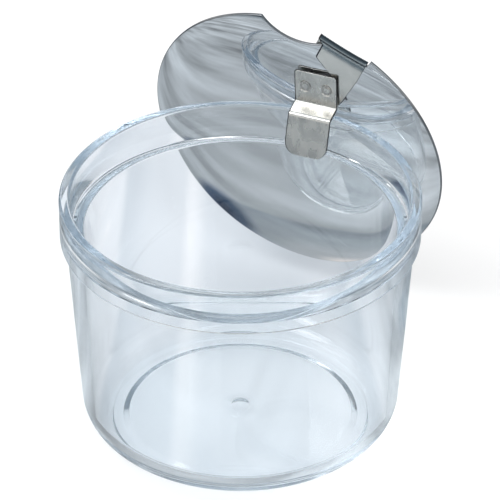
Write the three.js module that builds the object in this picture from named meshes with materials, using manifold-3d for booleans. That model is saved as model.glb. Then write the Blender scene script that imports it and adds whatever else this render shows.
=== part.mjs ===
// Disinfectant jar: a clear moulded tub with a domed steel lid hung over its rim by a bent strip.
// Millimetres, +Z up. The origin is the middle of the jar's foot, and the lid hangs on the +Y side.
import * as THREE from "three";
import { mergeVertices } from "three/addons/utils/BufferGeometryUtils.js";
import Module from "manifold-3d";

const wasm = await Module();
wasm.setup();

// Jar
const jarHeight = 87.5;
const collarRadius = 60;
const collarHeight = 14.5;
const collarInnerTop = 56.3;
const collarInnerFoot = 55.6;
const rimRound = 1;
const ledgeDepth = 11.9;
const ledgeInnerRadius = 52;
const edgeRound = 0.6;
const bodyTopRadius = 58;
const bodyLowRadius = 54.2;
const heelRound = 9.5;
const cavityLowRadius = 49.6;
const cavityRound = 7;
const floorThickness = 3.4;
const footInnerRadius = 39.6;
const recessRadius = 38;
const recessDepth = 1;

// Lid: a dome pressed from sheet, flattest in the middle, with a finger notch and a straight cut in its edge
const lidRadius = 55.6;
const lidRise = 6;
const domePower = 4;
const lidSheet = 1;
const notchTurn = THREE.MathUtils.degToRad(-6.3);
const notchRadius = 29;
const notchCentre = 78.6;

// Lift tab: sheet folded over the straight cut, its leaf running in under the strip's foot
const tabTurn = THREE.MathUtils.degToRad(-24.4);
const tabSheet = 0.6;
const tabWidth = 18.8;
const tabFold = 54.4;
const tabReturn = 9;
const returnGap = 0.7;
const hemOverlap = 0.8;
const hemSide = 0.4;
const tabShoulder = 46.8;
const tabNeck = 7.2;
const tabThroat = new THREE.Vector2(0.6, 43.6);
const tabHeel = new THREE.Vector2(-1.4, 30.4);
const tabPoint = new THREE.Vector2(8, 32.8);

// Hanger strip: foot on the lid, riser over the rim, leg inside the collar
const stripSheet = 0.9;
const stripWidth = 15.6;
const footAcross = 13.3;
const footUp = 33.1;
const footLength = 13;
const riserReach = 8.7;
const legLength = 14.6;
const legSplay = THREE.MathUtils.degToRad(19.8);
const bendRadius = 1.2;
const footCorner = 0.8;
const legCorner = 4.5;
const padInset = 1.4;

// Spot welds through the strip's foot and the tab's leaf
const weldRadius = 1.7;
const weldSpacing = 8;
const weldUp = 0.6;
const weldDish = 0.3;
const weldGap = 0.3;

// How the lid hangs on the rim
const lidLean = THREE.MathUtils.degToRad(11.7);
const lidTurn = THREE.MathUtils.degToRad(-3.4);
const seatGap = 0.3;
const seatReach = 4.3;
const seatX = 2.5;
const seatY = 57.5;
const sheetGap = 0.1;

const jarFacets = 72;
const lidFacets = 96;
const weldFacets = 24;
const arcSteps = 8;
const jarArcSteps = 3;
const cutDepth = 40;

const quarterTurn = Math.PI / 2;
const footBase = tabSheet + 2 * sheetGap;
const riserUp = -(footLength + stripSheet) / 2;
const foldRadius = (lidSheet + sheetGap + returnGap + tabSheet) / 2;
const foldStart = tabFold - tabSheet / 2 - foldRadius;
const domeRings = evenly(0, foldStart, arcSteps);

const clear = { color: 0xdfe8ee, roughness: 0.08, metalness: 0, transparent: true, opacity: 0.35 };
const polished = { color: 0xb4b9bd, roughness: 0.12, metalness: 1 };
const satin = { color: 0xb9b6a9, roughness: 0.35, metalness: 1 };

// Merges shared corners and drops the flat triangles that a profile leaves on its axis.
function toSolid(geometry) {
  const bare = geometry.clone();
  bare.deleteAttribute("normal");
  bare.deleteAttribute("uv");
  const merged = mergeVertices(bare, 1e-4);
  const corners = merged.index.array;
  const kept = [];
  for (let i = 0; i < corners.length; i += 3) {
    const [a, b, c] = corners.slice(i, i + 3);
    if (a !== b && b !== c && c !== a) kept.push(a, b, c);
  }
  const vertProperties = new Float32Array(merged.attributes.position.array);
  return new wasm.Manifold(new wasm.Mesh({ numProp: 3, vertProperties, triVerts: new Uint32Array(kept) }));
}

function toGeometry(solid) {
  const mesh = solid.getMesh();
  const geometry = new THREE.BufferGeometry();
  geometry.setAttribute("position", new THREE.BufferAttribute(mesh.vertProperties, 3));
  geometry.setIndex(new THREE.BufferAttribute(mesh.triVerts, 1));
  geometry.computeVertexNormals();
  return geometry;
}

function named(name, solid, look) {
  const mesh = new THREE.Mesh(toGeometry(solid), new THREE.MeshStandardMaterial(look));
  mesh.name = name;
  return mesh;
}

// A closed profile, radius by height, turned about the Z axis.
function turned(profile, facets) {
  return toSolid(new THREE.LatheGeometry(profile, facets).rotateX(quarterTurn));
}

// A slab with the given outline in the XY plane, reaching equally far above and below it.
function slab(outline, depth) {
  const options = { depth, bevelEnabled: false, curveSegments: arcSteps };
  return new THREE.ExtrudeGeometry(outline, options).translate(0, 0, -depth / 2);
}

// A centreline of straight runs, rounded where it bends.
function bentLine(corners, radius) {
  const line = new THREE.Path();
  line.moveTo(corners[0].x, corners[0].y);
  for (let i = 1; i < corners.length - 1; i += 1) {
    const corner = corners[i];
    const back = corners[i - 1].clone().sub(corner).setLength(radius);
    const ahead = corners[i + 1].clone().sub(corner).setLength(radius);
    line.lineTo(corner.x + back.x, corner.y + back.y);
    line.quadraticCurveTo(corner.x, corner.y, corner.x + ahead.x, corner.y + ahead.y);
  }
  line.lineTo(corners.at(-1).x, corners.at(-1).y);
  return line.getPoints(arcSteps);
}

// The outline of a sheet seen edge on: its centreline offset half a thickness to both sides.
function sheetOutline(centreline, thickness) {
  const left = [];
  const right = [];
  centreline.forEach((point, i) => {
    const before = centreline[Math.max(i - 1, 0)];
    const after = centreline[Math.min(i + 1, centreline.length - 1)];
    const along = after.clone().sub(before).normalize();
    const side = new THREE.Vector2(-along.y, along.x).multiplyScalar(thickness / 2);
    left.push(point.clone().add(side));
    right.push(point.clone().sub(side));
  });
  return new THREE.Shape([...left, ...right.reverse()]);
}

function jarProfile() {
  const collarFoot = jarHeight - collarHeight;
  const ledgeTop = jarHeight - ledgeDepth;
  const cavityFloor = recessDepth + floorThickness;
  const rimCentre = jarHeight - rimRound;
  const profile = new THREE.Path();
  profile.moveTo(0, recessDepth);
  profile.lineTo(recessRadius, recessDepth);
  profile.lineTo(footInnerRadius, 0);
  profile.absarc(bodyLowRadius - heelRound, heelRound, heelRound, -quarterTurn, 0);
  profile.lineTo(bodyTopRadius, collarFoot - edgeRound);
  profile.lineTo(bodyTopRadius + edgeRound, collarFoot);
  profile.lineTo(collarRadius - edgeRound, collarFoot);
  profile.lineTo(collarRadius, collarFoot + edgeRound);
  profile.absarc(collarRadius - rimRound, rimCentre, rimRound, 0, quarterTurn);
  profile.absarc(collarInnerTop + rimRound, rimCentre, rimRound, quarterTurn, 2 * quarterTurn);
  profile.lineTo(collarInnerFoot, ledgeTop);
  profile.lineTo(ledgeInnerRadius + edgeRound, ledgeTop);
  profile.lineTo(ledgeInnerRadius, ledgeTop - edgeRound);
  profile.absarc(cavityLowRadius - cavityRound, cavityFloor + cavityRound, cavityRound, 0, -quarterTurn, true);
  profile.lineTo(0, cavityFloor);
  return profile.getPoints(jarArcSteps);
}

function evenly(from, to, steps) {
  const values = [];
  for (let i = 0; i <= steps; i += 1) values.push(THREE.MathUtils.lerp(from, to, i / steps));
  return values;
}

// Height of the lid's upper face above its edge plane.
function domeHeight(radius) {
  return lidRise * (1 - (radius / lidRadius) ** domePower);
}

// How steeply the lid's upper face falls away from its middle.
function domeSlope(radius) {
  return ((lidRise * domePower) / lidRadius) * (radius / lidRadius) ** (domePower - 1);
}

// Section of a surface that lies offset above the lid's upper face.
function domeArc(offset, radii) {
  return radii.map((radius) => new THREE.Vector2(radius, domeHeight(radius) + offset));
}

// The lid lies on its edge plane, upper face up. +Y is the way up when it hangs.
function lidDisc() {
  const under = domeArc(-lidSheet, [...domeRings, lidRadius]);
  const upper = domeArc(0, [...domeRings, lidRadius]).reverse();
  const cap = turned([...under, ...upper], lidFacets);

  const notch = new THREE.CylinderGeometry(notchRadius, notchRadius, cutDepth, lidFacets);
  notch.rotateX(quarterTurn).translate(0, notchCentre, 0).rotateZ(notchTurn);

  const straight = new THREE.BoxGeometry(tabWidth + 2 * hemSide, cutDepth, cutDepth);
  straight.translate(0, foldStart + cutDepth / 2, 0).rotateZ(tabTurn);
  return cap.subtract(toSolid(notch)).subtract(toSolid(straight));
}

// The strip's own frame: origin on the dome under the middle of its foot, Z out of the dome.
function stripFrame() {
  const radius = Math.hypot(footAcross, footUp);
  const slope = domeSlope(radius);
  const normal = new THREE.Vector3((slope * footAcross) / radius, (slope * footUp) / radius, 1).normalize();
  const frame = new THREE.Object3D();
  frame.position.set(footAcross, footUp, domeHeight(radius));
  frame.rotation.set(-Math.asin(normal.y), Math.atan2(normal.x, normal.z), 0, "YXZ");
  frame.updateMatrix();
  return frame;
}

function weldHole(side) {
  const hole = new THREE.CylinderGeometry(weldRadius + weldGap, weldRadius + weldGap, cutDepth, weldFacets);
  return hole.rotateX(quarterTurn).translate((side * weldSpacing) / 2, weldUp, 0);
}

function stripSection() {
  const footMiddle = footBase + stripSheet / 2;
  const legMiddle = riserReach - stripSheet / 2;
  const legDrop = legLength * Math.cos(legSplay);
  const legOut = legLength * Math.sin(legSplay);
  const corners = [
    new THREE.Vector2(footMiddle, footLength / 2),
    new THREE.Vector2(footMiddle, riserUp),
    new THREE.Vector2(legMiddle, riserUp),
    new THREE.Vector2(legMiddle + legOut, riserUp - legDrop),
  ];
  return sheetOutline(bentLine(corners, bendRadius), stripSheet);
}

function stripFront() {
  const half = stripWidth / 2;
  const top = footLength / 2;
  const low = riserUp - legLength * Math.cos(legSplay);
  const front = new THREE.Shape();
  front.absarc(half - footCorner, top - footCorner, footCorner, 0, quarterTurn);
  front.absarc(footCorner - half, top - footCorner, footCorner, quarterTurn, 2 * quarterTurn);
  front.absarc(legCorner - half, low + legCorner, legCorner, 2 * quarterTurn, 3 * quarterTurn);
  front.absarc(half - legCorner, low + legCorner, legCorner, 3 * quarterTurn, 4 * quarterTurn);
  return front;
}

function hangerStrip() {
  const bent = toSolid(slab(stripSection(), stripWidth).rotateY(-quarterTurn));
  const front = toSolid(slab(stripFront(), cutDepth));
  const holes = [-1, 1].map((side) => toSolid(weldHole(side)));
  return bent.intersect(front).subtract(holes[0]).subtract(holes[1]);
}

// Section of the tab's hem, radius by height: over the lid, round the straight cut, back beneath.
function hemSection() {
  const above = sheetGap + tabSheet / 2;
  const below = -lidSheet - returnGap - tabSheet / 2;
  const tilt = Math.atan(domeSlope(foldStart));
  const radius = foldRadius * Math.cos(tilt);
  const over = domeArc(above, [foldStart - hemOverlap, foldStart]);
  const under = domeArc(below, evenly(foldStart - 2 * radius * Math.sin(tilt), tabFold - tabReturn, arcSteps / 2));
  const middle = over.at(-1).clone().add(under[0]).multiplyScalar(0.5);
  const fold = [];
  for (let i = 1; i < arcSteps; i += 1) {
    const turn = quarterTurn - tilt - (Math.PI * i) / arcSteps;
    const arm = new THREE.Vector2(Math.cos(turn), Math.sin(turn)).multiplyScalar(radius);
    fold.push(arm.add(middle));
  }
  return sheetOutline([...over, ...fold, ...under], tabSheet);
}

// A shell that follows the lid's upper face, from the middle out to where the hem begins.
function leafShell() {
  const lower = domeArc(sheetGap, domeRings);
  const upper = domeArc(sheetGap + tabSheet, domeRings).reverse();
  return turned([...lower, ...upper], lidFacets);
}

// Plan of the tab's broad end: a neck narrower than the hem on one side, then in to the strip's foot.
function tabPlan() {
  const half = tabWidth / 2;
  const plan = new THREE.Shape();
  plan.moveTo(-tabNeck, cutDepth + tabFold);
  plan.lineTo(-tabNeck, tabShoulder);
  plan.lineTo(tabThroat.x, tabThroat.y);
  plan.lineTo(tabHeel.x, tabHeel.y);
  plan.lineTo(tabPoint.x, tabPoint.y);
  plan.lineTo(half, tabShoulder);
  plan.lineTo(half, cutDepth + tabFold);
  return plan;
}

// Cutter for the tab's pad, which lies hidden beneath the strip's foot.
function padBlock() {
  const across = stripWidth - 2 * padInset;
  return new THREE.BoxGeometry(across, footLength - 2 * padInset, cutDepth);
}

function liftTab(frame) {
  const hem = slab(hemSection(), tabWidth).rotateX(quarterTurn).rotateZ(quarterTurn + tabTurn);
  const broad = toSolid(slab(tabPlan(), 2 * cutDepth).rotateZ(tabTurn));
  const pad = toSolid(padBlock().applyMatrix4(frame.matrix));
  const holes = [-1, 1].map((side) => toSolid(weldHole(side).applyMatrix4(frame.matrix)));
  const leaf = leafShell().intersect(broad.add(pad)).subtract(holes[0]).subtract(holes[1]);
  return leaf.add(toSolid(hem));
}

function weldNugget() {
  const top = footBase + stripSheet;
  const profile = [
    new THREE.Vector2(0, sheetGap),
    new THREE.Vector2(weldRadius, sheetGap),
    new THREE.Vector2(weldRadius, top),
    new THREE.Vector2(weldRadius / 2, top - weldDish),
    new THREE.Vector2(0, top - weldDish),
  ];
  return turned(profile, weldFacets);
}

function buildLid() {
  const lid = new THREE.Group();
  const strip = stripFrame();
  lid.add(named("lid_disc", lidDisc(), polished));
  lid.add(named("lift_tab", liftTab(strip), satin));
  strip.add(named("hanger_strip", hangerStrip(), satin));
  for (const [side, place] of [[-1, "left"], [1, "right"]]) {
    const weld = named(`spot_weld_${place}`, weldNugget(), satin);
    weld.position.set((side * weldSpacing) / 2, weldUp, 0);
    strip.add(weld);
  }
  lid.add(strip);
  lid.rotation.set(quarterTurn + lidLean, 0, lidTurn, "ZYX");

  // Bring the point of the riser that bears on the rim to its seat.
  lid.updateMatrixWorld(true);
  const seat = new THREE.Vector3(0, riserUp - stripSheet / 2, seatReach).applyMatrix4(strip.matrixWorld);
  lid.position.set(seatX, seatY, jarHeight + seatGap).sub(seat);
  return lid;
}

const jar = new THREE.Group();
jar.add(named("jar_body", turned(jarProfile(), jarFacets), clear));
jar.add(buildLid());
export default jar;
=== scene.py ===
"""A disinfectant jar: a clear moulded tub with a domed steel lid hung over its rim by a bent strip."""

import bisect
import math

import bpy
from mathutils import Matrix, Vector


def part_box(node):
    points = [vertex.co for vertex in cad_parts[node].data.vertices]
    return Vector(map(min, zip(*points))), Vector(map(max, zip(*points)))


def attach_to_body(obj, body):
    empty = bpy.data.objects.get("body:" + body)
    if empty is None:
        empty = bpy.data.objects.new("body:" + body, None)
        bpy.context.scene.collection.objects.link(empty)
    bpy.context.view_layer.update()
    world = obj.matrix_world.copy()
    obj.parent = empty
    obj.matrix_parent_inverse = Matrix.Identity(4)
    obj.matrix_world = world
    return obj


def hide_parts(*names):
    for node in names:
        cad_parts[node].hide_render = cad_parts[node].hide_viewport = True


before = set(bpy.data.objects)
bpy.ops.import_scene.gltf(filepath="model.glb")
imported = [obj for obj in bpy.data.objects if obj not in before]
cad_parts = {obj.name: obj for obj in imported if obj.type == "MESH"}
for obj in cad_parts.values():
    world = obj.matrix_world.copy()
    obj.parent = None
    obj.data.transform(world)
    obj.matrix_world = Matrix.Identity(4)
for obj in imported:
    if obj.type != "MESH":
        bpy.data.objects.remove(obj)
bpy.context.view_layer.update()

# Lengths are in millimetres, and MM turns them into metres.
MM = 0.001
jar_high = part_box("jar_body")[1] / MM

# Jar. Its radius and height come from the jar_body part in model.glb.
COLLAR_RADIUS = jar_high.x
JAR_HEIGHT = jar_high.z
COLLAR_HEIGHT = 14.5
COLLAR_INNER_TOP = 56.3
COLLAR_INNER_FOOT = 55.6
RIM_ROUND = 1.0
LEDGE_DEPTH = 11.9
LEDGE_INNER = 52.0
LEDGE_ROUND = 0.7
STEP_ROUND = 0.5
BODY_TOP = 58.0
BODY_LOW = 54.2
HEEL_ROUND = 9.5
CAVITY_LOW = 49.6
CAVITY_ROUND = 7.0
CAVITY_FLOOR = 4.4
RECESS_DEPTH = 1.0
RECESS_RADIUS = 38.0
FOOT_INNER = 39.6
FOOT_OUTER = 43.4
FOOT_STEP = 1.0
FOOT_ROUND = 0.3
GATE_RADIUS = 3.4
GATE_DEPTH = 0.8
GATE_POWER = 4
JAR_SEGMENTS = 288
WALL_SHARES = (0.33, 0.66)
FOOT_STEPS = 3
HEEL_STEPS = 20
NECK_STEPS = 4
STEP_STEPS = 5
RIM_STEPS = 8
LEDGE_STEPS = 6
CAVITY_STEPS = 16
GATE_STEPS = 10

# Lid
LID_RADIUS = 55.6
LID_RISE = 6.0
DOME_POWER = 4
LID_SHEET = 1.0
LID_EDGE = 0.35
LID_STEPS = 720
LID_TINY = 1e-4
LID_RINGS = 56
NOTCH_TURN = math.radians(-6.3)
NOTCH_RADIUS = 29.0
NOTCH_CENTRE = 78.6
ROLL_WIDTH = 7.0
ROLL_DROP = 0.16
ROLL_POWER = 3

# The lid's unevenness: its height, then the length, phase or skew of its waves across and up the lid
WAVE = 0.02
WIDE_WAVE = (9.0, 13.0)
WIDE_PHASE = (0.6, 1.1)
FINE_WAVE = (5.5, 7.5)
FINE_SKEW = (0.6, 0.4)
FINE_SHARE = 0.4

# Lift tab
TAB_TURN = math.radians(-24.4)
TAB_SHEET = 0.6
TAB_WIDTH = 18.8
TAB_FOLD = 54.4
TAB_RETURN = 9.0
RETURN_GAP = 0.7
HEM_SIDE = 0.4
TAB_SHOULDER = 46.8
TAB_NECK = 7.2
TAB_THROAT = (0.6, 43.6)
TAB_EDGE = 0.12
TAB_COLUMNS = 40
TAB_ROWS = 44
LEAF_STEPS = 24
FOLD_STEPS = 20
RETURN_STEPS = 12
# The tab's sides, as (across, up the lid). Below the throat they lie hidden beneath the strip's foot.
TAB_LEFT = [
    (-6.3, 29.5), (-9.6, 36.8), TAB_THROAT, (-TAB_NECK, TAB_SHOULDER),
    (-TAB_NECK, 51.8), (-TAB_WIDTH / 2, 53.2), (-TAB_WIDTH / 2, 60),
]
TAB_RIGHT = [(0, 29.5), (7.9, 32.9), (TAB_WIDTH / 2, TAB_SHOULDER), (TAB_WIDTH / 2, 60)]

# Hanger strip
STRIP_SHEET = 0.9
STRIP_WIDTH = 15.6
STRIP_EDGE = 0.12
STRIP_STEP = 0.25
STRIP_COLUMNS = 64
FOOT_ACROSS = 13.3
FOOT_UP = 33.1
FOOT_LENGTH = 13.0
RISER_REACH = 8.7
LEG_LENGTH = 14.6
LEG_SPLAY = math.radians(19.8)
BEND_RADIUS = 1.5
FOOT_CORNER = 0.8
FOOT_CORNER_STEPS = 8
LEG_CORNER = 4.5
LEG_CORNER_STEPS = 20

# Spot welds
WELD_RADIUS = 2.0
WELD_SPACING = 8.0
WELD_UP = 0.6
WELD_DISH = 0.22
WELD_WALL = 0.45
WELD_DEPTH = 0.4
WELD_CLEAR = 0.04
WELD_LIP = 0.18
WELD_POWER = 1.5
WELD_SEGMENTS = 72
WELD_LIP_STEPS = 5
WELD_RINGS = 10

# Sheet edges and bends
EDGE_STEPS = 3
BEND_STEPS = 16
TOUCHING = 1e-6

# How the lid hangs
LID_LEAN = math.radians(11.7)
LID_TURN = math.radians(-3.4)
SEAT_GAP = 0.3
SEAT_REACH = 4.3
SEAT_X = 2.5
SEAT_Y = 57.5
SHEET_GAP = 0.1

# Camera
VIEW_AZIMUTH = math.radians(23.4)
VIEW_ELEVATION = math.radians(32.8)
VIEW_DISTANCE = 1017.0
LENS = 222.0
SENSOR = 36.0
SHIFT = (0.0192, -0.1128)
CLIP_END = 32000.0

# Clear plastic
PLASTIC_IOR = 1.49
PLASTIC_COLOUR = (0.975, 0.985, 0.99, 1)
SHADOW_COLOUR = (0.97, 0.98, 0.985, 1)
PLASTIC_TINT = (0.45, 0.75, 1.0, 1)
PLASTIC_DENSITY = 2.0

# Painted reflections: how the tab's steel is painted darker in bands towards its fold, standing in for the
# dark surroundings its curled hem reflects, over the second coordinate as a share of the lid's radius
FOLD_PAINTED_REFLECTION_STOPS = [(0.9, 1.0), (0.935, 0.35), (0.945, 0.7), (0.955, 0.06), (0.963, 0.5), (0.972, 0.04)]

# Steels: colour, share of it left in the darkest patches, roughness and how far it varies, waves of grain
# per millimetre, bump, and the stops of a painted darkening if there is one (the tab's painted reflections)
STEELS = {
    "polished": ((0.73, 0.74, 0.75), 0.94, 0.02, 0.012, (0.5, 0.5, 0.5), 0.08, None),
    # The lid's rounded edge is painted dark grey, far darker than its polished face: painted shade that
    # draws its dark outline.
    "rim": ((0.3, 0.31, 0.32), 0.8, 0.3, 0.08, (2.0, 2.0, 2.0), 0.3, None),
    "satin": ((0.84, 0.825, 0.78), 0.62, 0.27, 0.1, (0.35, 0.14, 0.35), 0.04, None),
    "folded": ((0.86, 0.84, 0.79), 0.7, 0.24, 0.08, (0.3, 0.12, 1.0), 0.04, FOLD_PAINTED_REFLECTION_STOPS),
    # The cut edges of the strip and tab are painted near black: painted shade, standing in for the shadowed
    # gaps beneath them and their dark reflections in the lid.
    "cut": ((0.05, 0.05, 0.055), 0.7, 0.4, 0.08, (2.0, 2.0, 2.0), 0.4, None),
    "weld": ((0.60, 0.58, 0.55), 0.6, 0.25, 0.08, (0.9, 0.9, 0.9), 0.3, None),
}
GRAIN_DETAIL = 4.0
GRAIN_HEIGHT = 0.02

# Stage. The paler colour below dims and cools the stage where it is seen through the plastic: partly the
# plastic's own cool colour, partly painted shade. The band stops paint lighter and darker bands across the
# view there: painted highlights and shade. COOL and NAVY hold one exponent per colour channel, which turns a
# grey level into a tinted one.
ROOM = 0.93
PAINTED_PALE = (0.82, 0.85, 0.885)
PAINTED_BAND_SPAN = 120.0
PAINTED_BAND_STOPS = [
    (0.04, 1.06), (0.08, 0.88), (0.2, 0.98), (0.29, 1.0), (0.33, 1.14), (0.4, 0.97), (0.65, 0.98),
    (0.8, 1.04), (0.91, 0.88), (0.96, 1.05),
]
COOL = (1.2, 1.0, 0.86)
NAVY = (1.4, 1.1, 0.75)
ROOM_STOPS = [
    (0.0, 0.5), (0.5, 0.02), (0.54, 0.2), (0.6, 1.15), (0.66, 1.0),
    (0.74, 0.55), (0.85, 0.25), (0.93, 0.22), (1.0, 0.7),
]
FLOOR_WHITE = 0.95
FLOOR_SIZE = 8000.0
FLOOR_FADE = 1600.0
FLOOR_DROP = 0.3
# How the floor darkens away from the jar as reflections see it: painted fall-off of the light, over the
# distance as a share of FLOOR_FADE
FLOOR_PAINTED_FALLOFF_STOPS = [(0.0, 0.85), (0.35, 0.85), (0.8, 0.7), (1.0, 0.1)]
# Painted streaks of light and shade on the floor as reflections see it
STREAKS = (5.0, 34.0, 1.0)
STREAK_DETAIL = 3.0
STREAK_NOISE = (0.3, 0.7)
STREAK_RANGE = (0.4, 1.3)
# Painted light and shadow on the floor beneath the hung lid, seen only in reflections: a glow ringed darker,
# and a navy shadow patch. Each holds place, stretch, reach, stops and cast
PAINTED_LIGHT_AND_SHADOW_SPOTS = [
    ((6.0, 86.0), 3.0, 75.0, [(0.0, 1.9), (0.22, 1.1), (0.6, 0.82), (0.9, 0.72), (1.0, 1.0)], COOL),
    ((-58.0, 90.0), 1.3, 25.0, [(0.0, 0.08), (0.5, 0.22), (1.0, 1.0)], NAVY),
]
LAMPS = [
    ("key", (-500, -350, 900), (500, 500), 3.5),
    ("fill", (700, -500, 700), (400, 400), 1.5),
]
BOUNCES = 32

QUARTER = math.pi / 2
FOLD_RADIUS = (LID_SHEET + SHEET_GAP + RETURN_GAP + TAB_SHEET) / 2
FOLD_START = TAB_FOLD - TAB_SHEET / 2 - FOLD_RADIUS
FOOT_BASE = TAB_SHEET + 2 * SHEET_GAP
RISER_UP = -(FOOT_LENGTH + STRIP_SHEET) / 2


def lerp(a, b, t):
    return a + (b - a) * t


def spread(start, end, steps):
    return [lerp(start, end, i / steps) for i in range(steps + 1)]


def arc(centre, radius, start, end, steps):
    """Points on an arc in a plane, with angles in quarter turns."""
    return [
        (centre[0] + radius * math.cos(QUARTER * a), centre[1] + radius * math.sin(QUARTER * a))
        for a in spread(start, end, steps)
    ]


# ---------------------------------------------------------------- meshes

def make_mesh(name, points, faces, materials, matrix=Matrix.Identity(4)):
    """An object from points in millimetres, in their own frame, which matrix places.

    faces holds (corner indices, material index). The attribute "place" keeps each point as given.
    """
    mesh = bpy.data.meshes.new(name)
    mesh.from_pydata([(matrix @ Vector(p)) * MM for p in points], [], [f for f, _ in faces])
    for material in materials:
        mesh.materials.append(material)
    mesh.polygons.foreach_set("material_index", [m for _, m in faces])
    place = mesh.attributes.new("place", "FLOAT_VECTOR", "POINT")
    place.data.foreach_set("vector", [value for p in points for value in p])
    mesh.shade_smooth()
    mesh.validate()
    piece = bpy.data.objects.new(name, mesh)
    bpy.context.scene.collection.objects.link(piece)
    piece.modifiers.new("normals", "WEIGHTED_NORMAL")
    return piece


def lathe(profile, segments):
    """Turns a profile of (radius, height), which starts and ends on the axis, about Z."""
    inner = profile[1:-1]
    count = len(inner)
    points = []
    for i in range(segments):
        turn = 2 * math.pi * i / segments
        points += [(r * math.cos(turn), r * math.sin(turn), z) for r, z in inner]
    start, end = len(points), len(points) + 1
    points += [(0, 0, profile[0][1]), (0, 0, profile[-1][1])]
    faces = []
    for i in range(segments):
        here, there = i * count, (i + 1) % segments * count
        faces.append(((start, there, here), 0))
        faces.append(((end, here + count - 1, there + count - 1), 0))
        for k in range(count - 1):
            faces.append(((here + k, there + k, there + k + 1, here + k + 1), 0))
    return points, faces


class Track:
    """A line in a plane, of straight runs and arcs, measured by its length."""

    def __init__(self, start):
        self.points = [Vector(start)]
        self.lengths = [0.0]

    def add(self, point):
        point = Vector(point)
        step = (point - self.points[-1]).length
        if step > TOUCHING:
            self.points.append(point)
            self.lengths.append(self.lengths[-1] + step)

    def bend(self, corner, after, radius):
        """Runs to the corner and rounds it on the way to the point after it."""
        corner, after = Vector(corner), Vector(after)
        back = (self.points[-1] - corner).normalized()
        ahead = (after - corner).normalized()
        half = back.angle(ahead) / 2
        middle = corner + (back + ahead).normalized() * (radius / math.sin(half))
        start = corner + back * (radius / math.tan(half)) - middle
        end = corner + ahead * (radius / math.tan(half)) - middle
        for t in spread(0, 1, BEND_STEPS):
            self.add(middle + start.slerp(end, t))

    def length(self):
        return self.lengths[-1]

    def at(self, length):
        """The point at this length, and the direction square to the line, to its left."""
        last = len(self.points) - 2
        i = min(max(bisect.bisect_right(self.lengths, length) - 1, 0), last)
        run = self.lengths[i + 1] - self.lengths[i]
        share = (length - self.lengths[i]) / run
        point = self.points[i].lerp(self.points[i + 1], share)
        square = self.square(i).lerp(self.square(i + 1), share).normalized()
        return point, square

    def square(self, i):
        before = self.points[max(i - 1, 0)]
        after = self.points[min(i + 1, len(self.points) - 1)]
        along = (after - before).normalized()
        return Vector((-along.y, along.x))


def sheet(rows, columns, thickness, edge, place):
    """A closed sheet with rounded edges, from rows of (length, left, right).

    place(length, across, height) gives a point, where height is from the middle of the sheet.
    """
    first, last = rows[0][0], rows[-1][0]
    loops = []
    for length, left, right in rows:
        inset = max(first + edge - length, length - last + edge, 0)
        half = thickness / 2 - edge + math.sqrt(max(edge ** 2 - inset ** 2, 0))
        loops.append(sheet_loop(length, left, right, columns, half, edge, place))
    size = len(loops[0])
    faces = []
    cut = EDGE_STEPS + 1
    for i in range(len(loops) - 1):
        a, b = i * size, (i + 1) * size
        for k in range(size):
            after = (k + 1) % size
            # Faces round the edges and ends take the second material; for the strip and tab that is the cut
            # steel, painted near black as shade.
            near_side = min(k, size - 1 - k) < cut or abs(k - size // 2 + 0.5) < cut
            faces.append(((a + k, b + k, b + after, a + after), 1 if near_side else 0))
    end = (len(loops) - 1) * size
    for k in range(size // 2 - 1):
        faces.append(((k, k + 1, size - 2 - k, size - 1 - k), 1))
        faces.append(((end + size - 1 - k, end + size - 2 - k, end + k + 1, end + k), 1))
    return [p for loop in loops for p in loop], faces


def sheet_loop(length, left, right, columns, half, edge, place):
    """One row of a sheet: up its left edge, over its upper face, down its right edge and back."""
    edge = min(edge, half)
    side = arc((edge, half - edge), edge, 2, 1, EDGE_STEPS)
    middle = [(left + across, height) for across, height in side]
    middle += [(x, half) for x in spread(left + edge, right - edge, columns)[1:-1]]
    middle += [(right - across, height) for across, height in reversed(side)]
    under = [(across, -height) for across, height in reversed(middle)]
    return [place(length, across, height) for across, height in middle + under]


# ---------------------------------------------------------------- jar

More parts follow.
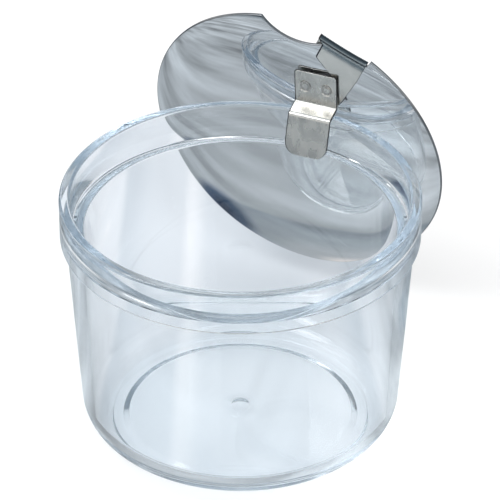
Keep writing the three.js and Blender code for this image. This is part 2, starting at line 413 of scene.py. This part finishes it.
def jar_profile():
    """Section of the jar as (radius, height), from under its middle, round the rim and back inside."""
    collar_foot = JAR_HEIGHT - COLLAR_HEIGHT
    ledge = JAR_HEIGHT - LEDGE_DEPTH
    rim = JAR_HEIGHT - RIM_ROUND
    heel = BODY_LOW - HEEL_ROUND
    cavity = CAVITY_LOW - CAVITY_ROUND
    bend = CAVITY_FLOOR + CAVITY_ROUND
    profile = [(0, RECESS_DEPTH), (RECESS_RADIUS / 2, RECESS_DEPTH)]
    recess_corner = (RECESS_RADIUS - FOOT_ROUND, RECESS_DEPTH - FOOT_ROUND)
    profile += arc(recess_corner, FOOT_ROUND, 1, 0.5, FOOT_STEPS)
    profile += arc((FOOT_INNER + FOOT_ROUND, FOOT_ROUND), FOOT_ROUND, -1.5, -1, FOOT_STEPS)
    profile += arc((FOOT_OUTER - FOOT_ROUND, FOOT_ROUND), FOOT_ROUND, -1, -0.6, FOOT_STEPS)
    profile += arc((heel, HEEL_ROUND + FOOT_STEP), HEEL_ROUND, -1, 0, HEEL_STEPS)
    profile += [(lerp(BODY_LOW, BODY_TOP, t), lerp(HEEL_ROUND, collar_foot, t)) for t in WALL_SHARES]
    profile += [(BODY_TOP, collar_foot - STEP_ROUND)]
    profile += arc((BODY_TOP + STEP_ROUND, collar_foot - STEP_ROUND), STEP_ROUND, 2, 1, NECK_STEPS)[1:]
    collar_corner = (COLLAR_RADIUS - STEP_ROUND, collar_foot + STEP_ROUND)
    profile += arc(collar_corner, STEP_ROUND, -1, 0, STEP_STEPS)
    profile += arc((COLLAR_RADIUS - RIM_ROUND, rim), RIM_ROUND, 0, 1, RIM_STEPS)
    profile += arc((COLLAR_INNER_TOP + RIM_ROUND, rim), RIM_ROUND, 1, 2, RIM_STEPS)
    profile += [(COLLAR_INNER_FOOT, ledge)]
    ledge_corner = (LEDGE_INNER + LEDGE_ROUND, ledge - LEDGE_ROUND)
    profile += arc(ledge_corner, LEDGE_ROUND, 1, 2, LEDGE_STEPS)
    profile += [(lerp(LEDGE_INNER, CAVITY_LOW, t), lerp(ledge, bend, t)) for t in WALL_SHARES]
    profile += arc((cavity, bend), CAVITY_ROUND, 0, -1, CAVITY_STEPS)
    profile += [(GATE_RADIUS * 2, CAVITY_FLOOR)]
    profile += gate_mark()
    return profile


def gate_mark():
    """The shallow dish that the mould's gate leaves in the middle of the floor."""
    return [
        (GATE_RADIUS * t, CAVITY_FLOOR - GATE_DEPTH * (1 - t ** GATE_POWER))
        for t in spread(1, 0, GATE_STEPS)
    ]


def build_jar(looks):
    points, faces = lathe(jar_profile(), JAR_SEGMENTS)
    piece = make_mesh("jar_body_clear", points, faces, [looks["clear"]])
    attach(piece, "jar", "jar_body")


# ---------------------------------------------------------------- lid

def dome_height(radius, offset=0.0):
    return LID_RISE * (1 - (radius / LID_RADIUS) ** DOME_POWER) + offset


def dome_slope(radius):
    """How steeply the dome falls at this radius."""
    return LID_RISE * DOME_POWER / LID_RADIUS * (radius / LID_RADIUS) ** (DOME_POWER - 1)


def roll_off(radius):
    """How far the polished edge falls below the dome."""
    reach = max(radius - (LID_RADIUS - ROLL_WIDTH), 0) / ROLL_WIDTH
    return ROLL_DROP * reach ** ROLL_POWER


def ripple(x, y):
    """The faint unevenness of pressed and polished sheet."""
    wide = math.sin(x / WIDE_WAVE[0] + WIDE_PHASE[0]) * math.sin(y / WIDE_WAVE[1] + WIDE_PHASE[1])
    fine = math.sin((x + FINE_SKEW[0] * y) / FINE_WAVE[0]) * math.cos((y - FINE_SKEW[1] * x) / FINE_WAVE[1])
    return WAVE * (wide + FINE_SHARE * fine)


def lid_reach(angle):
    """Distance from the lid's middle to its outline, in the direction of angle."""
    reach = LID_RADIUS
    off = angle - (QUARTER + NOTCH_TURN)
    across = NOTCH_CENTRE * math.sin(off)
    if math.cos(off) > 0 and abs(across) < NOTCH_RADIUS:
        near = NOTCH_CENTRE * math.cos(off) - math.sqrt(NOTCH_RADIUS ** 2 - across ** 2)
        reach = min(reach, near)
    off = angle - (QUARTER + TAB_TURN)
    if math.cos(off) > 0 and abs(FOLD_START * math.tan(off)) < TAB_WIDTH / 2 + HEM_SIDE:
        reach = min(reach, FOLD_START / math.cos(off))
    return reach


def lid_angles():
    """Even steps round the lid, with a close pair at each end of the straight cut."""
    angles = [2 * math.pi * i / LID_STEPS for i in range(LID_STEPS)]
    middle = QUARTER + TAB_TURN
    side = math.atan((TAB_WIDTH / 2 + HEM_SIDE) / FOLD_START)
    for corner in (middle - side, middle + side):
        angles += [corner - LID_TINY, corner + LID_TINY]
    return sorted(angles)


def lid_point(angle, radius, offset):
    x, y = radius * math.cos(angle), radius * math.sin(angle)
    return (x, y, dome_height(radius, offset) - roll_off(radius) + ripple(x, y))


def build_lid_disc(looks, matrix):
    angles = lid_angles()
    shares = spread(0, 1, LID_RINGS)[1:]
    round_edge = arc((-LID_EDGE, -LID_EDGE), LID_EDGE, 1, 0, EDGE_STEPS)[1:]
    edge = round_edge + [(across, -LID_SHEET - height) for across, height in reversed(round_edge)]
    loops = []
    for angle in angles:
        reach = lid_reach(angle)
        loop = [lid_point(angle, (reach - LID_EDGE) * share, 0) for share in shares]
        loop += [lid_point(angle, reach + across, height) for across, height in edge]
        loop += [lid_point(angle, (reach - LID_EDGE) * share, -LID_SHEET) for share in reversed(shares)]
        loops.append(loop)
    size, count = len(loops[0]), len(loops)
    points = [p for loop in loops for p in loop]
    top, under = len(points), len(points) + 1
    points += [lid_point(0, 0, 0), lid_point(0, 0, -LID_SHEET)]
    # The faces round the lid's edge take the rim steel, painted dark as shade.
    cut = range(LID_RINGS - 1, LID_RINGS + len(edge))
    faces = []
    for i in range(count):
        a, b = i * size, (i + 1) % count * size
        faces.append(((top, a, b), 0))
        faces.append(((under, b + size - 1, a + size - 1), 0))
        for k in range(size - 1):
            faces.append(((a + k, a + k + 1, b + k + 1, b + k), 1 if k in cut else 0))
    return make_mesh("lid_disc_polished", points, faces, [looks["polished"], looks["rim"]], matrix)


# ---------------------------------------------------------------- lift tab

def limit(outline, height):
    """Across, on an outline of (across, height) points that rises."""
    for (x0, y0), (x1, y1) in zip(outline, outline[1:]):
        if height <= y1:
            return lerp(x0, x1, (height - y0) / (y1 - y0))
    return outline[-1][0]


def tab_track():
    """Section of the tab, over the lid, round the cut and back beneath, and the length that lies over it."""
    above = SHEET_GAP + TAB_SHEET / 2
    below = -LID_SHEET - RETURN_GAP - TAB_SHEET / 2
    track = Track((TAB_LEFT[0][1], dome_height(TAB_LEFT[0][1], above)))
    for radius in spread(TAB_LEFT[0][1], FOLD_START, LEAF_STEPS):
        track.add((radius, dome_height(radius, above)))
    leaf = track.length()
    tilt = math.atan(dome_slope(FOLD_START))
    bend = FOLD_RADIUS * math.cos(tilt)
    middle = track.points[-1] - Vector((math.sin(tilt), math.cos(tilt))) * bend
    for point in arc(middle, bend, 1 - tilt / QUARTER, -1 - tilt / QUARTER, FOLD_STEPS):
        track.add(point)
    hem = FOLD_START - 2 * bend * math.sin(tilt)
    for radius in spread(hem, TAB_FOLD - TAB_RETURN, RETURN_STEPS)[1:]:
        track.add((radius, dome_height(radius, below)))
    return track, leaf


def tab_rows(track, leaf):
    lengths = spread(0, TAB_EDGE, EDGE_STEPS)
    lengths += spread(TAB_EDGE, leaf, TAB_ROWS)[1:]
    lengths += spread(leaf, track.length() - TAB_EDGE, TAB_ROWS)[1:]
    lengths += spread(track.length() - TAB_EDGE, track.length(), EDGE_STEPS)[1:]
    rows = []
    for length in lengths:
        height = track.at(length)[0].x if length <= leaf else TAB_FOLD
        rows.append((length, limit(TAB_LEFT, height), limit(TAB_RIGHT, height)))
    return rows


def build_tab(looks, matrix):
    track, leaf = tab_track()

    def place(length, across, height):
        point, square = track.at(length)
        radius, level = point + square * height
        fall = dome_height(math.hypot(radius, across)) - dome_height(radius)
        return (across, radius, level + fall)

    points, faces = sheet(tab_rows(track, leaf), TAB_COLUMNS, TAB_SHEET, TAB_EDGE, place)
    turn = matrix @ Matrix.Rotation(TAB_TURN, 4, "Z")
    return make_mesh("lift_tab_folded", points, faces, [looks["folded"], looks["cut"]], turn)


# ---------------------------------------------------------------- hanger strip

def strip_matrix():
    """The strip's frame on the lid: origin on the dome under its foot, Z out of the dome."""
    radius = math.hypot(FOOT_ACROSS, FOOT_UP)
    fall = dome_slope(radius) / radius
    normal = Vector((fall * FOOT_ACROSS, fall * FOOT_UP, 1)).normalized()
    across = Matrix.Rotation(math.atan2(normal.x, normal.z), 4, "Y")
    up = Matrix.Rotation(-math.asin(normal.y), 4, "X")
    return Matrix.Translation((FOOT_ACROSS, FOOT_UP, dome_height(radius))) @ across @ up


def strip_track():
    """Section of the strip, height over the dome by height up the lid."""
    foot = FOOT_BASE + STRIP_SHEET / 2
    reach = RISER_REACH - STRIP_SHEET / 2
    drop = RISER_UP - LEG_LENGTH * math.cos(LEG_SPLAY)
    out = reach + LEG_LENGTH * math.sin(LEG_SPLAY)
    track = Track((foot, FOOT_LENGTH / 2))
    track.bend((foot, RISER_UP), (reach, RISER_UP), BEND_RADIUS)
    track.bend((reach, RISER_UP), (out, drop), BEND_RADIUS)
    track.add((out, drop))
    return track


def strip_rows(track):
    """Rows close together at the rounded corners of both ends, and even between them."""
    end = track.length()
    turns = spread(0, 1, FOOT_CORNER_STEPS)
    lengths = [FOOT_CORNER - FOOT_CORNER * math.cos(QUARTER * t) for t in turns]
    lengths += even(FOOT_CORNER, FOOT_LENGTH, STRIP_STEP)[1:]
    lengths += even(FOOT_LENGTH, end - LEG_CORNER, 2 * STRIP_STEP)[1:]
    turns = spread(0, 1, LEG_CORNER_STEPS)[1:]
    lengths += [end - LEG_CORNER + LEG_CORNER * math.sin(QUARTER * t) for t in turns]
    rows = []
    for length in lengths:
        foot = max(FOOT_CORNER - length, 0)
        leg = max(length - end + LEG_CORNER, 0)
        trim = FOOT_CORNER - math.sqrt(FOOT_CORNER ** 2 - foot ** 2)
        trim += LEG_CORNER - math.sqrt(max(LEG_CORNER ** 2 - leg ** 2, 0))
        half = STRIP_WIDTH / 2 - trim
        rows.append((length, -half, half))
    return rows


def even(start, end, step):
    return spread(start, end, max(round((end - start) / step), 1))


def weld_dip(across, up):
    """Depth of the two hollows that the welding tips press into the strip."""
    depth = 0
    for side in (-1, 1):
        away = math.hypot(across - side * WELD_SPACING / 2, up - WELD_UP)
        share = min(max((WELD_RADIUS + WELD_WALL - away) / WELD_WALL, 0), 1)
        depth += WELD_DEPTH * share * share * (3 - 2 * share)
    return depth


def build_strip(looks, matrix):
    track = strip_track()

    def place(length, across, height):
        point, square = track.at(length)
        out, up = point + square * height
        if height > 0 and length < FOOT_LENGTH - BEND_RADIUS:
            out -= weld_dip(across, up)
        return (across, up, out)

    points, faces = sheet(strip_rows(track), STRIP_COLUMNS, STRIP_SHEET, STRIP_EDGE, place)
    return make_mesh("hanger_strip_bent", points, faces, [looks["satin"], looks["cut"]], matrix)


def build_weld(name, side, looks, matrix):
    """A dished nugget that fills one of the strip's hollows."""
    top = FOOT_BASE + STRIP_SHEET
    floor = top - WELD_DEPTH + WELD_CLEAR
    lip = WELD_RADIUS - WELD_CLEAR
    profile = [(0, floor), (lip, floor)]
    profile += arc((lip - WELD_LIP, top - WELD_LIP), WELD_LIP, 0, 1, WELD_LIP_STEPS)
    for t in spread(1, 0, WELD_RINGS)[1:]:
        dish = WELD_DISH * (1 + math.cos(math.pi * t ** WELD_POWER)) / 2
        profile.append(((lip - WELD_LIP) * t, top - dish))
    points, faces = lathe(profile, WELD_SEGMENTS)
    shift = Matrix.Translation((side * WELD_SPACING / 2, WELD_UP, 0))
    return make_mesh(name, points, faces, [looks["weld"]], matrix @ shift)


# ---------------------------------------------------------------- lid assembly

def lid_matrix():
    """How the hung lid stands, with the strip's riser on the rim."""
    turn = Matrix.Rotation(LID_TURN, 4, "Z")
    lean = Matrix.Rotation(QUARTER + LID_LEAN, 4, "X")
    upright = turn @ lean
    seat = upright @ strip_matrix() @ Vector((0, RISER_UP - STRIP_SHEET / 2, SEAT_REACH))
    return Matrix.Translation(Vector((SEAT_X, SEAT_Y, JAR_HEIGHT + SEAT_GAP)) - seat) @ upright


def build_lid(looks):
    matrix = lid_matrix()
    strip = matrix @ strip_matrix()
    attach(build_lid_disc(looks, matrix), "lid", "lid_disc")
    attach(build_tab(looks, matrix), "lid", "lift_tab")
    attach(build_strip(looks, strip), "lid", "hanger_strip")
    for side, place in ((-1, "left"), (1, "right")):
        weld = build_weld(f"spot_weld_{place}_mark", side, looks, strip)
        attach(weld, "lid", f"spot_weld_{place}")


def attach(piece, body, node):
    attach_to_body(piece, body)
    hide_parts(node)


# ---------------------------------------------------------------- shader nodes

def plug(links, socket, value):
    """Sets a socket to a plain value, or joins it to another node's output."""
    if isinstance(value, (int, float, tuple)):
        socket.default_value = value
    else:
        links.new(value, socket)


def math_node(nodes, links, operation, *values):
    node = nodes.new("ShaderNodeMath")
    node.operation = operation
    for socket, value in zip(node.inputs, values):
        plug(links, socket, value)
    return node.outputs[0]


def vector_node(nodes, links, operation, first, second, output="Vector"):
    node = nodes.new("ShaderNodeVectorMath")
    node.operation = operation
    for socket, value in zip(node.inputs, (first, second)):
        plug(links, socket, value)
    return node.outputs[output]


def mix_colours(nodes, links, factor, first, second):
    node = nodes.new("ShaderNodeMix")
    node.data_type = "RGBA"
    links.new(factor, node.inputs["Factor"])
    for socket, value in zip((node.inputs[6], node.inputs[7]), (first, second)):
        plug(links, socket, value)
    return node.outputs[2]


def noise_node(nodes, links, place, stretch, detail):
    scale = nodes.new("ShaderNodeMapping")
    scale.inputs["Scale"].default_value = stretch
    links.new(place, scale.inputs["Vector"])
    noise = nodes.new("ShaderNodeTexNoise")
    noise.inputs["Scale"].default_value = 1.0
    noise.inputs["Detail"].default_value = detail
    links.new(scale.outputs["Vector"], noise.inputs["Vector"])
    return noise.outputs["Fac"]


def range_node(nodes, links, value, before, after):
    node = nodes.new("ShaderNodeMapRange")
    names = ("From Min", "From Max", "To Min", "To Max")
    for name, bound in zip(names, (*before, *after)):
        node.inputs[name].default_value = bound
    links.new(value, node.inputs["Value"])
    return node.outputs["Result"]


def ramp(nodes, links, value, stops, cast=COOL):
    """A smooth ramp over value, from (position, level) stops, with each level tinted by the cast."""
    node = nodes.new("ShaderNodeValToRGB")
    node.color_ramp.interpolation = "EASE"
    elements = node.color_ramp.elements
    while len(elements) < len(stops):
        elements.new(1.0)
    for element, (position, level) in zip(elements, stops):
        element.position = position
        element.color = (*(level ** power for power in cast), 1)
    links.new(value, node.inputs["Fac"])
    return node.outputs["Color"]


# ---------------------------------------------------------------- materials

def new_material(name):
    material = bpy.data.materials.new(name)
    material.use_nodes = True
    nodes = material.node_tree.nodes
    return material, nodes, material.node_tree.links, nodes["Principled BSDF"]


def place_node(nodes):
    node = nodes.new("ShaderNodeAttribute")
    node.attribute_name = "place"
    return node.outputs["Vector"]


def clear_look():
    """Clear moulded plastic. Lamps shine through it, so that it leaves no hard shadow."""
    material, nodes, links, shader = new_material("clear_plastic")
    shader.inputs["Base Color"].default_value = PLASTIC_COLOUR
    shader.inputs["Roughness"].default_value = 0.0
    shader.inputs["IOR"].default_value = PLASTIC_IOR
    shader.inputs["Transmission Weight"].default_value = 1.0
    path = nodes.new("ShaderNodeLightPath")
    through = nodes.new("ShaderNodeBsdfTransparent")
    through.inputs["Color"].default_value = SHADOW_COLOUR
    mix = nodes.new("ShaderNodeMixShader")
    links.new(path.outputs["Is Shadow Ray"], mix.inputs["Fac"])
    links.new(shader.outputs["BSDF"], mix.inputs[1])
    links.new(through.outputs["BSDF"], mix.inputs[2])
    links.new(mix.outputs["Shader"], nodes["Material Output"].inputs["Surface"])
    absorb = nodes.new("ShaderNodeVolumeAbsorption")
    absorb.inputs["Color"].default_value = PLASTIC_TINT
    absorb.inputs["Density"].default_value = PLASTIC_DENSITY
    links.new(absorb.outputs["Volume"], nodes["Material Output"].inputs["Volume"])
    return material


def steel(name, colour, dull, roughness, uneven, stretch, bump, painted_reflection_stops):
    """Steel whose tone, roughness and height vary with a stretched noise.

    The last argument, when given, paints the colour darker over the second coordinate, as a share of the
    lid's radius: painted reflections.
    """
    material, nodes, links, shader = new_material(name)
    shader.inputs["Metallic"].default_value = 1.0
    grain = noise_node(nodes, links, place_node(nodes), stretch, GRAIN_DETAIL)
    rough = range_node(nodes, links, grain, (0, 1), (roughness - uneven, roughness + uneven))
    links.new(rough, shader.inputs["Roughness"])
    darkest = (*(value * dull for value in colour), 1)
    shade = mix_colours(nodes, links, grain, darkest, (*colour, 1))
    # Painted reflections: dark bands painted into the colour from the given stops.
    if painted_reflection_stops:
        split = nodes.new("ShaderNodeSeparateXYZ")
        links.new(place_node(nodes), split.inputs["Vector"])
        share = math_node(nodes, links, "DIVIDE", split.outputs["Y"], LID_RADIUS)
        shade = vector_node(nodes, links, "MULTIPLY", shade, ramp(nodes, links, share, painted_reflection_stops))
    links.new(shade, shader.inputs["Base Color"])
    raised = nodes.new("ShaderNodeBump")
    raised.inputs["Strength"].default_value = bump
    raised.inputs["Distance"].default_value = GRAIN_HEIGHT * MM
    links.new(grain, raised.inputs["Height"])
    links.new(raised.outputs["Normal"], shader.inputs["Normal"])
    return material


def build_looks():
    looks = {name: steel(f"{name}_steel", *values) for name, values in STEELS.items()}
    looks["clear"] = clear_look()
    return looks


# ---------------------------------------------------------------- stage

def stage_colour(nodes, links, white, mirrored):
    """White as seen directly; through the plastic, paler and banded across the view with painted shade and
    highlights; in a reflection, the mirrored colour.
    """
    path = nodes.new("ShaderNodeLightPath")
    through = math_node(nodes, links, "MINIMUM", path.outputs["Transmission Depth"], 1)
    reflected = math_node(nodes, links, "MINIMUM", path.outputs["Glossy Depth"], 1)
    place = nodes.new("ShaderNodeTexCoord").outputs["Object"]
    rightwards = (math.cos(VIEW_AZIMUTH), math.sin(VIEW_AZIMUTH), 0)
    across = vector_node(nodes, links, "DOT_PRODUCT", place, rightwards, "Value")
    # Painted highlights and shade: lighter and darker bands across the view, seen only through the plastic.
    share = math_node(nodes, links, "MULTIPLY_ADD", across, 1 / (PAINTED_BAND_SPAN * MM), 1 / 2)
    tint = tuple(white * value for value in PAINTED_PALE)
    painted_through = vector_node(nodes, links, "MULTIPLY", ramp(nodes, links, share, PAINTED_BAND_STOPS), tint)
    seen = mix_colours(nodes, links, through, (white, white, white, 1), painted_through)
    return mix_colours(nodes, links, reflected, seen, mirrored)


def build_world():
    """A white room. Reflections see a dark horizon, a bright band above it and a panel overhead."""
    world = bpy.data.worlds.new("studio")
    bpy.context.scene.world = world
    world.use_nodes = True
    nodes, links = world.node_tree.nodes, world.node_tree.links
    place = nodes.new("ShaderNodeTexCoord")
    split = nodes.new("ShaderNodeSeparateXYZ")
    links.new(place.outputs["Generated"], split.inputs["Vector"])
    height = math_node(nodes, links, "MULTIPLY_ADD", split.outputs["Z"], 1 / 2, 1 / 2)
    room = ramp(nodes, links, height, ROOM_STOPS)
    colour = stage_colour(nodes, links, ROOM, room)
    links.new(colour, nodes["Background"].inputs["Color"])


def build_floor():
    """A plain white floor, just below the jar's foot so that the two don't share a plane."""
    mesh = bpy.data.meshes.new("floor")
    corners = [(-1, -1), (1, -1), (1, 1), (-1, 1)]
    points = [Vector((x * FLOOR_SIZE, y * FLOOR_SIZE, -FLOOR_DROP)) * MM for x, y in corners]
    mesh.from_pydata(points, [], [range(len(corners))])
    floor = bpy.data.objects.new("floor", mesh)
    bpy.context.scene.collection.objects.link(floor)
    material, nodes, links, shader = new_material("floor_white")
    mesh.materials.append(material)
    # Seen directly the floor is plain white; through the plastic and in reflections it takes the stage's
    # painted light and shade.
    colour = stage_colour(nodes, links, FLOOR_WHITE, mirrored_floor(nodes, links))
    links.new(colour, shader.inputs["Base Color"])
    shader.inputs["Roughness"].default_value = 1.0
    shader.inputs["Specular IOR Level"].default_value = 0.0


def mirrored_floor(nodes, links):
    """The floor as reflections see it, with painted light and shade: greyer, darker away from the jar,
    streaked lighter and darker, with a painted glow and shadow beneath the hung lid.
    """
    place = nodes.new("ShaderNodeTexCoord").outputs["Object"]
    tone = ramp(nodes, links, distance(nodes, links, place, (0, 0), 1, FLOOR_FADE), FLOOR_PAINTED_FALLOFF_STOPS)
    # Painted glow and shadow beneath the hung lid.
    for centre, stretch, reach, stops, cast in PAINTED_LIGHT_AND_SHADOW_SPOTS:
        near = distance(nodes, links, place, centre, stretch, reach)
        tone = vector_node(nodes, links, "MULTIPLY", tone, ramp(nodes, links, near, stops, cast))
    noise = noise_node(nodes, links, place, STREAKS, STREAK_DETAIL)
    streak = range_node(nodes, links, noise, STREAK_NOISE, STREAK_RANGE)
    return vector_node(nodes, links, "MULTIPLY", tone, streak)


def distance(nodes, links, place, centre, stretch, reach):
    """Level distance from centre to place, as a share of reach. Y counts stretch times."""
    scaled = vector_node(nodes, links, "MULTIPLY", place, (1 / (reach * MM), stretch / (reach * MM), 0))
    middle = (centre[0] / reach, centre[1] * stretch / reach, 0)
    return vector_node(nodes, links, "DISTANCE", scaled, middle, "Value")


def build_lamps():
    for name, place, size, power in LAMPS:
        light = bpy.data.lights.new(name, "AREA")
        light.shape = "RECTANGLE"
        light.size, light.size_y = (side * MM for side in size)
        light.energy = power
        lamp = bpy.data.objects.new(name, light)
        lamp.location = Vector(place) * MM
        lamp.rotation_euler = (-Vector(place)).to_track_quat("-Z", "Y").to_euler()
        bpy.context.scene.collection.objects.link(lamp)


def build_camera():
    back = Vector((
        math.sin(VIEW_AZIMUTH) * math.cos(VIEW_ELEVATION),
        -math.cos(VIEW_AZIMUTH) * math.cos(VIEW_ELEVATION),
        math.sin(VIEW_ELEVATION),
    ))
    lens = bpy.data.cameras.new("camera")
    lens.sensor_width = SENSOR
    lens.lens = LENS
    lens.shift_x, lens.shift_y = SHIFT
    lens.clip_end = CLIP_END * MM
    camera = bpy.data.objects.new("camera", lens)
    camera.location = (Vector((0, 0, JAR_HEIGHT)) + back * VIEW_DISTANCE) * MM
    camera.rotation_mode = "QUATERNION"
    camera.rotation_quaternion = (-back).to_track_quat("-Z", "Y")
    bpy.context.scene.collection.objects.link(camera)
    bpy.context.scene.camera = camera


looks = build_looks()
build_jar(looks)
build_lid(looks)
build_world()
build_floor()
build_lamps()
build_camera()
bpy.context.scene.view_settings.view_transform = "Standard"
cycles = bpy.context.scene.cycles
cycles.max_bounces = cycles.glossy_bounces = cycles.transmission_bounces = BOUNCES
